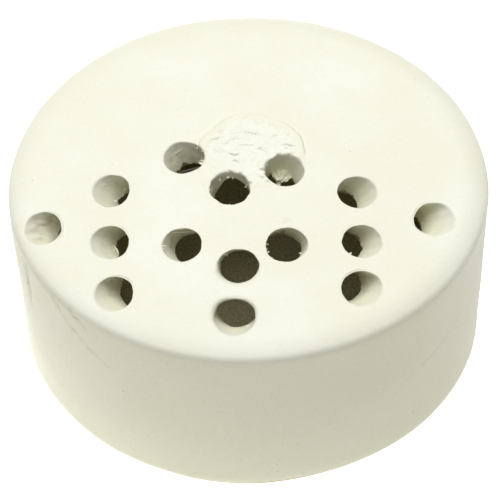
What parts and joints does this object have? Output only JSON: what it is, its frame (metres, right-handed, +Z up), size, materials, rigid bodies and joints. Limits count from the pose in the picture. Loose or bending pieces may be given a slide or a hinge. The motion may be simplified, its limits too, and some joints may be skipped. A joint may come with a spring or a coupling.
{
  "type": "flower frog",
  "caption": "Low round glazed pottery drum, open below, with freehand slanted holes through its top that hold cut flower stems.",
  "frame": {"origin": "centre of the foot ring, on the surface it stands on", "axes": "+Z up through the middle of the drum; +Y to the back, the half of the top with no holes; +X to the right"},
  "size_m": [0.11, 0.11, 0.0471],
  "materials": {
    "clay": "bare fired clay, matte",
    "glaze": "ivory glaze, satin to glossy",
    "patch": "rough crumpled ivory slip under thin glaze"
  },
  "bodies": {
    "root": {"drum_wall": "clay", "top_disc": "clay", "corner_coil": "clay", "glaze_coat": "glaze", "seat_patch": "patch"}
  },
  "joints": []
}
